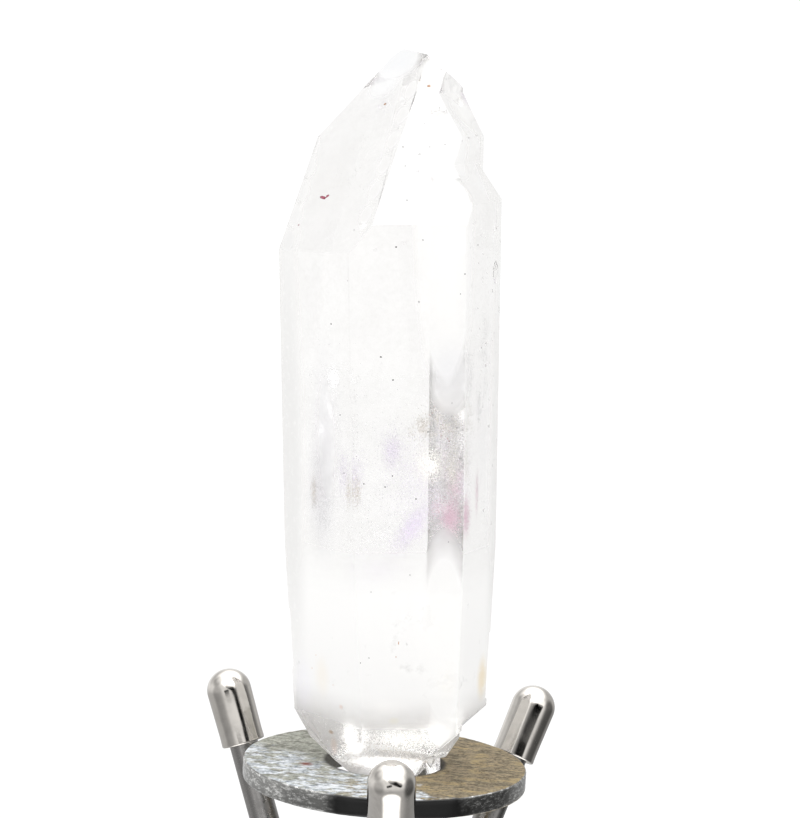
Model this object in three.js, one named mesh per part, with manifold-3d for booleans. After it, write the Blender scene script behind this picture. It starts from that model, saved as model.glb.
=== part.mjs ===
// A natural quartz crystal standing on its lower point in the hole of a loose steel washer.
// Three capped steel arms on a post and a round foot hold the washer from below.
// Millimetres, +Z up, +X to the viewer's right, -Y towards the viewer.
// The origin is the middle of the foot's underside.
import * as THREE from "three";
import { ConvexGeometry } from "three/addons/geometries/ConvexGeometry.js";
import { mergeVertices } from "three/addons/utils/BufferGeometryUtils.js";
import Module from "manifold-3d";

const wasm = await Module();
wasm.setup();

// Driving dimensions
const SEAT_HEIGHT = 84; // middle of the washer's top face above the surface
const GAP = 0.3; // clearance between neighbouring pieces

const WASHER_RADIUS = 17.46;
const WASHER_HOLE_RADIUS = 7.15;
const WASHER_THICKNESS = 2.35;
const WASHER_EDGE = 0.25; // worn corners
const WASHER_TILT = 3.2; // degrees, the right side is the lower one

const ROD_RADIUS = 1.85;
const ROD_STRAIGHT = 12; // straight length below the washer's level
const ROD_HUB_CIRCLE = 5.2; // radius of the circle on which the rods enter the hub
const ROD_HUB_DEPTH = 6;
const ROD_HUB_RISE = 2; // straight length above the hub
const ROD_BEND = { lower: 0.4, upper: 0.55 }; // how far each end of the bend runs on, per drop
const CAP_LENGTH = 9.7;
const CAP_LIP_RADIUS = 2.72;
const CAP_TOP_RADIUS = 2.82;
const CAP_CROWN = 2.2; // solid thickness above the bore
const CAP_DOME = 2.75; // height of the rounded end
const CAP_LIP_EDGE = 0.25; // the lip's outer corner
const CAP_BORE_EDGE = 0.2; // the bore's mouth

const HUB_RADIUS = 9.5;
const HUB_HEIGHT = 13;
const HUB_TOP = SEAT_HEIGHT - 48;
const HUB_EDGE = 1.2;
const POST_RADIUS = 4;
const POST_SOCKET = 4;
const FOOT_RADIUS = 36;
const FOOT_HEIGHT = 8;
const FOOT_CROWN = 1.6; // rise of the foot's top towards the post
const FOOT_EDGE = 1.4;
const FOOT_RISE = { radius: 12, height: 1 }; // where the top's slope steepens
const FOOT_COLLAR = 1; // flat ring around the post

// How many sides each round form has
const SIDES = { washer: 64, rod: 8, cap: 26, hub: 40, socket: 20, post: 28, foot: 56 };
const ROD_STEPS = 24;
const CAP_ARC_STEPS = 7;
const CHIP_FACETS = [12, 8];

// Each arm: where it stands around the washer, how far it leans out, its distance from the
// middle at the washer's level, and how far below that level its cap ends.
const ARMS = [
  { side: "left", azimuth: -118.2, lean: 17.8, radius: 20.6, capBelow: 0.15 },
  { side: "right", azimuth: 126, lean: 28.8, radius: 21.6, capBelow: 2.9 },
  { side: "front", azimuth: 2.2, lean: 28, radius: 21.65, capBelow: 3.1 },
];

// The crystal's sizes are measured from the middle of the washer's top face.
// Azimuth 0 faces the viewer and 90 faces right.
const BEND = 27.5; // height at which the prism starts to narrow downward
// Each prism face: azimuth, distance from the axis at the bend, flare above it and taper below it.
const PRISM = {
  left: { azimuth: -52.6, distance: 9.6, flare: 1.2, taper: 2.9 },
  front: { azimuth: 2, distance: 11, flare: 0.65, taper: 1.75 },
  right: { azimuth: 65, distance: 13, flare: 0.6, taper: 2.7 },
  backRight: { azimuth: 123, distance: 10.35, flare: 0.8, taper: 2.9 },
  back: { azimuth: 183, distance: 11.1, flare: 0.6, taper: 2.2 },
  backLeft: { azimuth: -115.8, distance: 11.2, flare: 0.3, taper: 2.2 },
};
// Faces of the upper point: the prism face each one caps, the height of their common edge, and
// how far the face lies back. Quartz has 38 degrees, and this one is a little uneven.
const UPPER = {
  left: { azimuth: -52, edge: 63, slope: 34.2 },
  front: { azimuth: 2, edge: 66.2, slope: 33.9 },
  backRight: { azimuth: 122.5, edge: 82.8, slope: 38 },
  back: { azimuth: 183, edge: 81.7, slope: 39 },
  backLeft: { azimuth: -116, edge: 76.7, slope: 42 },
};
// The right side grew in three steps: how far each one stands in from the prism face,
// and the face that closes the step below it.
const STEP_SLOPE = 37;
const STEP_AZIMUTH = 62.6;
const STEPS = [
  { edge: 68.8, inset: 3.35 },
  { edge: 76.3, inset: 7.35 },
];

// A small face cuts off the shoulder's far corner.
const SHOULDER = { azimuth: 115, slope: 23.4, distance: 12.2, height: 69 };
// Two broken faces blunt the upper point.
const TIP = [
  { azimuth: 108, slope: 52.9, distance: 6.3, height: 86 },
  { azimuth: 85.2, slope: 48.6, distance: 7.67, height: 84 },
];
// Faces of the lower point: distances from the axis at one level just above the washer.
const LOWER_LEVEL = 5;
const LOWER = [
  { azimuth: -10.8, slope: 46.9, distance: 10.7 },
  { azimuth: -76, slope: 46.5, distance: 10.78 },
  { azimuth: -117, slope: 45, distance: 8.82 },
  { azimuth: 183, slope: 45, distance: 9.24 },
  { azimuth: 122, slope: 46, distance: 10.07 },
  { azimuth: 78, slope: 48.9, distance: 9.69 },
];
// The ledge to the right of the lower point: its underside and the wall beside it.
const LEDGE = { azimuth: 70, slope: 45.6, distance: 9.72 };
const LEDGE_WALL = { azimuth: 100, slope: 2, distance: 7.6 };
// Two broken lumps that stay on below the lower point's right side, each one the body behind
// its planes: azimuth, slope, distance and the height at which the distance counts.
const UP = 90;
const DOWN = -90;
const LUMPS = {
  belowLedge: [
    [78, -33.5, 10.4, 5], [88, -3, 9.25, 5], [34, -14, 10.2, 5], [0, -20, 8.4, 5], [150, -6, 5.5, 5],
    [-90, 0, 0, 0], [0, UP, 0, 8], [0, DOWN, 0, 2.2],
  ],
  inHole: [
    [30, -5, 6.45, 0], [68, 7, 6.35, 0], [110, -6, 6.45, 0], [-18, -14, 5.7, 0], [165, -8, 3.4, 0],
    [-90, 0, 0, 0], [84, 64, 6.1, 1.1], [0, UP, 0, 3], [20, -80, 0, -2.9],
  ],
};
// Low terraces on the far faces: depth, and the heights between which they run.
const TERRACE_BANK = 110; // the banks at both ends lean back, out of the recess
const TERRACES = [
  { face: "back", inset: 0.4, from: 9, to: 21 },
  { face: "backLeft", inset: 0.3, from: 13, to: 19 },
  { face: "backRight", inset: 0.35, from: 8.5, to: 16.5 },
];
// Shell-shaped chips: the middle of the ball that fits each one, and its radius.
const CHIPS = [
  { at: [10.4, 1.7, 82.8], radius: 3 },
  { at: [-13.05, 0.4, 12.2], radius: 1.9 },
  { at: [6.3, 13.4, 60], radius: 2.6 },
  { at: [-7.2, 12.4, 19], radius: 2.2 },
];

const BOX_REACH = 60; // half the size of a block that holds the whole crystal
const PARALLEL = 1e-6;
const ON_PLANE = 1e-5;
const SAME_POINT = 1e-4;

const deg = THREE.MathUtils.degToRad;

// A plane whose normal points to an azimuth and rises by a slope, through a point given by its
// distance from the axis along that azimuth and its height.
function plane(azimuth, slope, distance, height) {
  const across = new THREE.Vector3(Math.sin(deg(azimuth)), -Math.cos(deg(azimuth)), 0);
  const normal = across.clone().multiplyScalar(Math.cos(deg(slope)));
  normal.z = Math.sin(deg(slope));
  return { normal, offset: Math.cos(deg(slope)) * distance + Math.sin(deg(slope)) * height };
}

// The six sides of a block around the crystal
const block = [[1, 0, 0], [-1, 0, 0], [0, 1, 0], [0, -1, 0], [0, 0, 1], [0, 0, -1]].map((side) => ({
  normal: new THREE.Vector3(...side),
  offset: side[2] > 0 ? 2 * BOX_REACH : BOX_REACH,
}));
const flipped = ({ normal, offset }) => ({ normal: normal.clone().negate(), offset: -offset });

// The point where three planes meet, or null where two of them are parallel.
function meeting(a, b, c) {
  const matrix = new THREE.Matrix3().set(...a.normal, ...b.normal, ...c.normal);
  if (Math.abs(matrix.determinant()) < PARALLEL) return null;
  return new THREE.Vector3(a.offset, b.offset, c.offset).applyMatrix3(matrix.invert());
}

// The convex body that lies behind all the planes.
function polyhedron(planes) {
  const corners = new Map();
  for (let i = 0; i < planes.length; i++) {
    for (let j = i + 1; j < planes.length; j++) {
      for (let k = j + 1; k < planes.length; k++) {
        const point = meeting(planes[i], planes[j], planes[k]);
        if (!point) continue;
        if (planes.some(({ normal, offset }) => normal.dot(point) > offset + ON_PLANE)) continue;
        corners.set(point.toArray().map((v) => Math.round(v / SAME_POINT / 10)).join(), point);
      }
    }
  }
  return new ConvexGeometry([...corners.values()]);
}

function toSolid(geometry) {
  const bare = geometry.clone();
  bare.deleteAttribute("normal");
  bare.deleteAttribute("uv");
  const merged = mergeVertices(bare, SAME_POINT);
  const vertProperties = new Float32Array(merged.attributes.position.array);
  const triVerts = new Uint32Array(merged.index.array);
  return new wasm.Manifold(new wasm.Mesh({ numProp: 3, vertProperties, triVerts }));
}

function toGeometry(solid) {
  const { vertProperties, triVerts } = solid.getMesh();
  const geometry = new THREE.BufferGeometry();
  geometry.setAttribute("position", new THREE.BufferAttribute(vertProperties, 3));
  geometry.setIndex(new THREE.BufferAttribute(triVerts, 1));
  const flat = geometry.toNonIndexed();
  flat.computeVertexNormals();
  return flat;
}

// A lathe turns about +Y, so the profile's heights are laid along +Z afterwards.
function turned(profile, segments) {
  const points = profile.map(([radius, height]) => new THREE.Vector2(radius, height));
  return new THREE.LatheGeometry(points, segments).rotateX(Math.PI / 2);
}

// Distance of a prism face from the axis at a height.
function prismDistance({ distance, flare, taper }, height) {
  const slope = height > BEND ? flare : taper;
  return distance + (height - BEND) * Math.tan(deg(slope));
}

// Both halves of a prism face, above and below the bend.
function prismPlanes({ azimuth, distance, flare, taper }) {
  return [plane(azimuth, -flare, distance, BEND), plane(azimuth, -taper, distance, BEND)];
}

// A prism face's upper half, moved in by an inset.
function insetPlane({ azimuth, distance, flare }, inset) {
  return plane(azimuth, -flare, distance - inset, BEND);
}

// The same for its lower half.
function lowInsetPlane({ azimuth, distance, taper }, inset) {
  return plane(azimuth, -taper, distance - inset, BEND);
}

function crystalSolid() {
  const prism = Object.values(PRISM).flatMap(prismPlanes);
  const upper = Object.entries(UPPER).map(([name, { azimuth, edge, slope }]) =>
    plane(azimuth, slope, prismDistance(PRISM[name], edge), edge),
  );
  const lower = LOWER.map(({ azimuth, slope, distance }) => plane(azimuth, -slope, distance, LOWER_LEVEL));
  const tip = TIP.map(({ azimuth, slope, distance, height }) => plane(azimuth, slope, distance, height));
  let solid = toSolid(polyhedron([...prism, ...upper, ...lower, ...tip]));
  const carve = (planes) => {
    solid = solid.subtract(toSolid(polyhedron([...planes.map(flipped), ...block])));
  };

  // The right side's steps, each cut down to its closing face and in to the next prism face
  const right = PRISM.right;
  STEPS.forEach(({ edge, inset }, index) => {
    const before = index === 0 ? 0 : STEPS[index - 1].inset;
    const distance = prismDistance(right, edge) - before;
    carve([plane(STEP_AZIMUTH, STEP_SLOPE, distance, edge), insetPlane(right, inset)]);
  });
  carve([
    plane(SHOULDER.azimuth, SHOULDER.slope, SHOULDER.distance, SHOULDER.height),
    insetPlane(right, STEPS[0].inset),
  ]);
  // The ledge beside the lower point, then the broken lumps
  carve([
    plane(LEDGE.azimuth, -LEDGE.slope, LEDGE.distance, LOWER_LEVEL),
    plane(LEDGE_WALL.azimuth, -LEDGE_WALL.slope, LEDGE_WALL.distance, LOWER_LEVEL),
  ]);
  for (const planes of Object.values(LUMPS)) {
    solid = solid.add(toSolid(polyhedron(planes.map((values) => plane(...values)))));
  }
  // Growth terraces on the far side
  for (const { face, inset, from, to } of TERRACES) {
    const { azimuth } = PRISM[face];
    carve([
      lowInsetPlane(PRISM[face], inset),
      flipped(plane(azimuth, TERRACE_BANK, prismDistance(PRISM[face], to) - inset, to)),
      flipped(plane(azimuth, -TERRACE_BANK, prismDistance(PRISM[face], from) - inset, from)),
    ]);
  }
  // Each chip's facets are turned another way
  CHIPS.forEach(({ at, radius }, index) => {
    const ball = new THREE.SphereGeometry(radius, ...CHIP_FACETS).rotateX(index + 0.5).rotateY(index);
    solid = solid.subtract(toSolid(ball.translate(...at)));
  });
  return solid;
}

// A flat washer with worn corners.
function washerGeometry() {
  const [inner, outer, edge] = [WASHER_HOLE_RADIUS, WASHER_RADIUS, WASHER_EDGE];
  const bottom = -WASHER_THICKNESS;
  return turned([
    [inner + edge, 0], [inner, -edge], [inner, bottom + edge], [inner + edge, bottom],
    [outer - edge, bottom], [outer, bottom + edge], [outer, -edge], [outer - edge, 0], [inner + edge, 0],
  ], SIDES.washer);
}

// A point of an arm's axis, measured along the axis from the washer's level.
function armPoint({ azimuth, lean, radius }, along) {
  const reach = radius + along * Math.sin(deg(lean));
  const height = along * Math.cos(deg(lean)) + SEAT_HEIGHT;
  return new THREE.Vector3(Math.sin(deg(azimuth)) * reach, -Math.cos(deg(azimuth)) * reach, height);
}

// A rod runs straight down through its cap's bore and past the washer, then bends into the hub.
function rodGeometry(arm) {
  const top = armPoint(arm, CAP_LENGTH - arm.capBelow - CAP_CROWN - GAP);
  const low = armPoint(arm, -ROD_STRAIGHT);
  const x = Math.sin(deg(arm.azimuth)) * ROD_HUB_CIRCLE;
  const y = -Math.cos(deg(arm.azimuth)) * ROD_HUB_CIRCLE;
  const entry = new THREE.Vector3(x, y, HUB_TOP + ROD_HUB_RISE);
  const end = new THREE.Vector3(x, y, HUB_TOP - ROD_HUB_DEPTH);
  const drop = low.z - entry.z;
  const along = low.clone().sub(top).normalize();
  const path = new THREE.CurvePath();
  path.add(new THREE.LineCurve3(top, low));
  path.add(new THREE.CubicBezierCurve3(
    low,
    low.clone().addScaledVector(along, drop * ROD_BEND.upper),
    entry.clone().setZ(entry.z + drop * ROD_BEND.lower),
    entry,
  ));
  path.add(new THREE.LineCurve3(entry, end));
  const section = new THREE.Shape().absarc(0, 0, ROD_RADIUS, 0, Math.PI * 2);
  return new THREE.ExtrudeGeometry(section, {
    steps: ROD_STEPS,
    curveSegments: SIDES.rod,
    extrudePath: path,
  });
}

// A round cap with a domed end and a blind bore, standing on its lip.
function capGeometry() {
  const bore = ROD_RADIUS + GAP;
  const profile = [
    [0, CAP_LENGTH - CAP_CROWN], [bore, CAP_LENGTH - CAP_CROWN], [bore, CAP_BORE_EDGE],
    [(bore + CAP_LIP_RADIUS) / 2, 0], [CAP_LIP_RADIUS - CAP_LIP_EDGE, 0], [CAP_LIP_RADIUS, CAP_LIP_EDGE],
  ];
  for (let step = 0; step < CAP_ARC_STEPS; step++) {
    const turn = (step / CAP_ARC_STEPS) * deg(90);
    profile.push([
      CAP_TOP_RADIUS * Math.cos(turn),
      CAP_LENGTH - CAP_DOME * (1 - Math.sin(turn)),
    ]);
  }
  profile.push([0, CAP_LENGTH]);
  return turned(profile, SIDES.cap);
}

// The hub has three round sockets on top for the rods and one below for the post.
function hubGeometry() {
  const body = turned([
    [0, 0], [HUB_RADIUS - HUB_EDGE, 0], [HUB_RADIUS, HUB_EDGE], [HUB_RADIUS, HUB_HEIGHT - HUB_EDGE],
    [HUB_RADIUS - HUB_EDGE, HUB_HEIGHT], [0, HUB_HEIGHT],
  ], SIDES.hub);
  let solid = toSolid(body);
  // A socket is a cylinder centred on the face that it opens in, so half of it cuts.
  const drill = (radius, depth, x, y, z) => {
    const cutter = new THREE.CylinderGeometry(radius, radius, 2 * depth, SIDES.socket).rotateX(Math.PI / 2);
    solid = solid.subtract(toSolid(cutter.translate(x, y, z)));
  };
  for (const { azimuth } of ARMS) {
    const x = Math.sin(deg(azimuth)) * ROD_HUB_CIRCLE;
    const y = -Math.cos(deg(azimuth)) * ROD_HUB_CIRCLE;
    drill(ROD_RADIUS + GAP, ROD_HUB_DEPTH + GAP, x, y, HUB_HEIGHT);
  }
  drill(POST_RADIUS + GAP, POST_SOCKET + GAP, 0, 0, 0);
  return toGeometry(solid);
}

const hubBottom = HUB_TOP - HUB_HEIGHT;
const postBottom = FOOT_HEIGHT + FOOT_CROWN - POST_SOCKET;

// The foot's top rises a little towards the socket that takes the post.
function footGeometry() {
  const socket = POST_RADIUS + GAP;
  const top = FOOT_HEIGHT + FOOT_CROWN;
  return turned([
    [0, 0], [FOOT_RADIUS - FOOT_EDGE / 2, 0], [FOOT_RADIUS, FOOT_EDGE / 2],
    [FOOT_RADIUS, FOOT_HEIGHT - FOOT_EDGE], [FOOT_RADIUS - FOOT_EDGE, FOOT_HEIGHT],
    [FOOT_RISE.radius, FOOT_HEIGHT + FOOT_RISE.height], [socket + FOOT_COLLAR, top], [socket, top],
    [socket, postBottom - GAP], [0, postBottom - GAP],
  ], SIDES.foot);
}

function postGeometry() {
  const height = hubBottom + POST_SOCKET - postBottom;
  return new THREE.CylinderGeometry(POST_RADIUS, POST_RADIUS, height, SIDES.post)
    .rotateX(Math.PI / 2)
    .translate(0, 0, postBottom + height / 2);
}

const quartz = new THREE.MeshStandardMaterial({ color: 0xf3f0f1, roughness: 0.14, metalness: 0 });
const wornZinc = new THREE.MeshStandardMaterial({ color: 0x7d7c74, roughness: 0.6, metalness: 0.8 });
const steel = new THREE.MeshStandardMaterial({ color: 0xb9b7b8, roughness: 0.24, metalness: 1 });
const capSteel = new THREE.MeshStandardMaterial({ color: 0xd2d0d0, roughness: 0.2, metalness: 1 });
const standSteel = new THREE.MeshStandardMaterial({ color: 0xa9a9ab, roughness: 0.32, metalness: 1 });

function named(name, geometry, material) {
  const mesh = new THREE.Mesh(geometry, material.clone());
  mesh.name = name;
  return mesh;
}

const part = new THREE.Group();

// The crystal and the washer, measured from the middle of the washer's top face
const seat = new THREE.Group();
seat.position.z = SEAT_HEIGHT;
seat.add(named("crystal", toGeometry(crystalSolid()), quartz));
const washer = named("washer", washerGeometry(), wornZinc);
washer.rotation.y = deg(WASHER_TILT);
seat.add(washer);
part.add(seat);

for (const arm of ARMS) {
  part.add(named(`rod_${arm.side}`, rodGeometry(arm), steel));
  const cap = named(`cap_${arm.side}`, capGeometry(), capSteel);
  const foot = armPoint(arm, -arm.capBelow);
  cap.position.copy(foot);
  const up = armPoint(arm, 1).sub(armPoint(arm, 0)).normalize();
  cap.quaternion.setFromUnitVectors(new THREE.Vector3(0, 0, 1), up);
  part.add(cap);
}

const hub = named("hub", hubGeometry(), standSteel);
hub.position.z = hubBottom;
part.add(hub);
part.add(named("post", postGeometry(), steel));
part.add(named("foot", footGeometry(), standSteel));

export default part;
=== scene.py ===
"""A natural quartz crystal on a capped three-arm steel stand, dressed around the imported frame.

Lengths below are millimetres unless a name says otherwise, and become metres where a mesh is made.
"""

from __future__ import annotations

import logging
import math
import random
from dataclasses import dataclass
from enum import Enum
from typing import Sequence

import bmesh
import bpy
from mathutils import Matrix, Vector, noise
from mathutils.bvhtree import BVHTree

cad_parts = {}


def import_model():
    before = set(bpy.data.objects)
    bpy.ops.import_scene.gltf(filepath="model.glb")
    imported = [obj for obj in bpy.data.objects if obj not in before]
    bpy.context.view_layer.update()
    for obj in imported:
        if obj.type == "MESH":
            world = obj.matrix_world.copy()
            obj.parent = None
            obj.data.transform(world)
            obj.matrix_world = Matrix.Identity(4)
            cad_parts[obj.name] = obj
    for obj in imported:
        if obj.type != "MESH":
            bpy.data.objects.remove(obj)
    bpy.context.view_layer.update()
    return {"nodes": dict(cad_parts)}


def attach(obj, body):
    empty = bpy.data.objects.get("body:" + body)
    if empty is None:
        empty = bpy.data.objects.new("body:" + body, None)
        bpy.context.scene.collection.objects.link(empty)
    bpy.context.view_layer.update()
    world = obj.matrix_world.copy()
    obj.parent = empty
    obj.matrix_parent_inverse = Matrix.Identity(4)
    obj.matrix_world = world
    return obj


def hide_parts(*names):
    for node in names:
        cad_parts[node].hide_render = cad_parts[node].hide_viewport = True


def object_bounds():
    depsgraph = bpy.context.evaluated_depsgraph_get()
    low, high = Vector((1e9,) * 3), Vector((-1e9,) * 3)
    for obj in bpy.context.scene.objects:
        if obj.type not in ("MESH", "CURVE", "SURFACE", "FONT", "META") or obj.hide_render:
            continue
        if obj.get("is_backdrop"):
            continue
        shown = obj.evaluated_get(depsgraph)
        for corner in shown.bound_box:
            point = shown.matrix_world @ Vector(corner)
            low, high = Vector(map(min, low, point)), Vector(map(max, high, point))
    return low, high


LOG = logging.getLogger("quartz")
MM = 0.001
SEAT_HEIGHT = 84.0

Socket = bpy.types.NodeSocket
Object = bpy.types.Object
Material = bpy.types.Material
Mesh = bpy.types.Mesh
BMesh = bmesh.types.BMesh
Pair = tuple[float, float]
Triple = tuple[float, float, float]
Colour = Triple


# Helpers for meshes


def azimuth_point(azimuth: float, distance: float, height: float) -> Vector:
    """A point at an azimuth round the vertical axis, where 0 faces the viewer and 90 the right."""
    turn = math.radians(azimuth)
    return Vector((math.sin(turn) * distance, -math.cos(turn) * distance, height))


def placed(name: str, data: object) -> Object:
    """Adds an object to the scene."""
    thing = bpy.data.objects.new(name, data)
    bpy.context.scene.collection.objects.link(thing)
    return thing


def as_object(name: str, mesh: Mesh, material: Material) -> Object:
    """Links a mesh as a piece that rides on the stand's one body.

    Args:
        name: The piece's name.
        mesh: Its mesh, in metres.
        material: Its finish.

    Returns:
        The new object.
    """
    piece = placed(name, mesh)
    piece.data.materials.append(material)
    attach(piece, "root")
    return piece


def from_solid(source: Object) -> BMesh:
    """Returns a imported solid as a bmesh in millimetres."""
    bm = bmesh.new()
    bm.from_mesh(source.data)
    bmesh.ops.scale(bm, vec=(1 / MM,) * 3, verts=bm.verts)
    return bm


def to_mesh(name: str, bm: BMesh, sharp: float | None = 30.0) -> Mesh:
    """Turns a bmesh in millimetres into a smooth-shaded mesh in metres.

    Args:
        name: The mesh's name.
        bm: The source, which is freed.
        sharp: Edges that turn by more than this many degrees stay sharp. None keeps the bmesh's own.

    Returns:
        The finished mesh.
    """
    bmesh.ops.scale(bm, vec=(MM, MM, MM), verts=bm.verts)
    mesh = bpy.data.meshes.new(name)
    bm.to_mesh(mesh)
    bm.free()
    if sharp is not None:
        mesh.shade_smooth()
        mesh.set_sharp_from_angle(angle=math.radians(sharp))
    return mesh


def lathe(profile: Sequence[Pair], sides: int) -> BMesh:
    """Turns a profile round the vertical axis.

    Args:
        profile: Pairs of radius and height. Ends on the axis are closed with one vertex.
        sides: How many sides the form has.

    Returns:
        A closed bmesh in millimetres, or an open ring when the profile's ends are off the axis.
    """
    bm = bmesh.new()
    rings: list[list[bmesh.types.BMVert]] = []
    for radius, height in profile:
        if radius < 1e-6:
            rings.append([bm.verts.new((0.0, 0.0, height))])
            continue
        turns = (2 * math.pi * index / sides for index in range(sides))
        rings.append([bm.verts.new((radius * math.cos(t), radius * math.sin(t), height)) for t in turns])
    pairs = list(zip(rings, rings[1:]))
    if len(rings[0]) > 1 and len(rings[-1]) > 1:
        pairs.append((rings[-1], rings[0]))
    for below, above in pairs:
        for index in range(sides):
            after = (index + 1) % sides
            corners = [below[index % len(below)], below[after % len(below)]]
            corners += [above[after % len(above)], above[index % len(above)]]
            unique = list(dict.fromkeys(corners))
            if len(unique) > 2:
                bm.faces.new(unique)
    bmesh.ops.recalc_face_normals(bm, faces=bm.faces)
    return bm


def arc(centre: Pair, radius: float, start: float, end: float, steps: int) -> list[Pair]:
    """Points of a circular arc in a lathe profile.

    Args:
        centre: The arc's middle, as radius and height.
        radius: The arc's own radius.
        start: Its first angle in degrees, 0 pointing outward and 90 up.
        end: Its last angle.
        steps: How many pieces the arc has.

    Returns:
        The list of profile points, both ends among them.
    """
    turns = (math.radians(start + (end - start) * index / steps) for index in range(steps + 1))
    return [(centre[0] + radius * math.cos(t), centre[1] + radius * math.sin(t)) for t in turns]


def turned(radius: float, bottom: float, top: float, edge: float, steps: int) -> list[Pair]:
    """The profile of a solid cylinder with rounded edges.

    Args:
        radius: Its radius.
        bottom: The height of its lower end.
        top: The height of its upper end.
        edge: The radius of its edges.
        steps: How many pieces each edge has.

    Returns:
        The list of profile points, from the axis to the axis.
    """
    lower = arc((radius - edge, bottom + edge), edge, -90, 0, steps)
    upper = arc((radius - edge, top - edge), edge, 0, 90, steps)
    return [(0, bottom)] + lower + [(radius, (bottom + top) / 2)] + upper + [(0, top)]


def refined(bm: BMesh, length: float, rounds: int = 9) -> None:
    """Splits long edges until a triangle mesh is even enough to carry relief.

    Args:
        bm: The mesh, changed in place.
        length: The longest edge that may stay, in millimetres.
        rounds: The most passes that are made.
    """
    for _ in range(rounds):
        bmesh.ops.triangulate(bm, faces=bm.faces)
        long = [edge for edge in bm.edges if edge.calc_length() > length]
        if not long:
            return
        bmesh.ops.subdivide_edges(bm, edges=long, cuts=1)
    bmesh.ops.triangulate(bm, faces=bm.faces)


@dataclass(frozen=True)
class Lens:
    """Where the camera stands, and how a place in its 800 by 818 picture becomes a line of sight."""

    place: Triple = (1.85, -277.93, 156.61)
    pitch: float = 5.94
    middle: Pair = (400.0, 409.0)
    focal: float = 2300.0

    def sight(self, seen: Pair) -> tuple[Vector, Vector]:
        """Returns where the line of sight starts and its direction, for a place in the picture."""
        pitch = math.radians(self.pitch)
        ahead = Vector((0, math.cos(pitch), -math.sin(pitch)))
        above = Vector((0, math.sin(pitch), math.cos(pitch)))
        across = Vector((1, 0, 0)) * ((seen[0] - self.middle[0]) / self.focal)
        look = ahead + across - above * ((seen[1] - self.middle[1]) / self.focal)
        return Vector(self.place), look.normalized()


class Host:
    """The crystal's solid, asked where lines of sight meet it and what lies inside it."""

    def __init__(self, source: Object, lens: Lens, ior: float) -> None:
        """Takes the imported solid, in millimetres."""
        bm = from_solid(source)
        self.tree = BVHTree.FromBMesh(bm)
        bm.free()
        self.lens = lens
        self.ior = ior

    def surface(self, seen: Pair) -> tuple[Vector, Vector, Vector] | None:
        """Finds what a place in the picture shows of the crystal's surface.

        Args:
            seen: The place in the picture.

        Returns:
            The point, the surface's normal there and the direction of sight, or None beside the crystal.
        """
        start, look = self.lens.sight(seen)
        point, normal, _, _ = self.tree.ray_cast(start, look)
        return None if point is None else (point, normal, look)

    def inside(self, seen: Pair, depth: float) -> Vector:
        """Finds the point that shows at a place, this far in along the bent line of sight.

        Args:
            seen: The place in the picture.
            depth: How far in it lies, in millimetres.

        Returns:
            The point in millimetres.
        """
        point, normal, look = self.surface(seen)
        slant = -normal.dot(look)
        ratio = 1 / self.ior
        bent = look * ratio + normal * (ratio * slant - math.sqrt(1 - ratio**2 * (1 - slant**2)))
        return point + bent * depth

    def holds(self, point: Vector, cover: float) -> bool:
        """Tells whether a point lies in the crystal, deeper than cover."""
        near, normal, _, _ = self.tree.find_nearest(point)
        return near is not None and (point - near).dot(normal) < -cover


# Helpers for shaders


class Nodes:
    """Adds shader nodes to one tree."""

    def __init__(self, tree: bpy.types.NodeTree) -> None:
        """Takes the tree and empties it."""
        self.tree = tree
        self.tree.nodes.clear()

    def feed(self, socket: Socket, value: object) -> None:
        """Links a socket into an input, or sets the input's own value."""
        if isinstance(value, Socket):
            self.tree.links.new(value, socket)
        elif isinstance(value, (tuple, list)) and len(value) == 3 and socket.type == "RGBA":
            socket.default_value = (*value, 1.0)
        else:
            socket.default_value = value

    def add(
        self, kind: str, inputs: dict[str | int, object] | None = None, **settings: object
    ) -> bpy.types.Node:
        """Adds a node.

        Args:
            kind: The node type, without its common prefix.
            inputs: Values or sockets for its inputs, by name or place.
            settings: The node's own options.

        Returns:
            The new node.
        """
        node = self.tree.nodes.new("ShaderNode" + kind)
        for key, value in settings.items():
            setattr(node, key, value)
        for key, value in (inputs or {}).items():
            self.feed(node.inputs[key], value)
        return node

    def math(self, operation: str, a: object, b: object = 0.0, clamp: bool = False) -> Socket:
        """One step of arithmetic on two numbers."""
        return self.add("Math", {0: a, 1: b}, operation=operation, use_clamp=clamp).outputs[0]

    def plus(self, a: object, b: object, clamp: bool = False) -> Socket:
        """The sum of two numbers."""
        return self.math("ADD", a, b, clamp)

    def times(self, a: object, b: object, clamp: bool = False) -> Socket:
        """The product of two numbers."""
        return self.math("MULTIPLY", a, b, clamp)

    def span(
        self, value: Socket, low: float, high: float, start: float = 0.0, end: float = 1.0
    ) -> Socket:
        """Maps low..high smoothly to start..end and holds it beyond."""
        inputs = {"Value": value, "From Min": low, "From Max": high, "To Min": start, "To Max": end}
        return self.add("MapRange", inputs, interpolation_type="SMOOTHSTEP").outputs[0]


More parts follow.
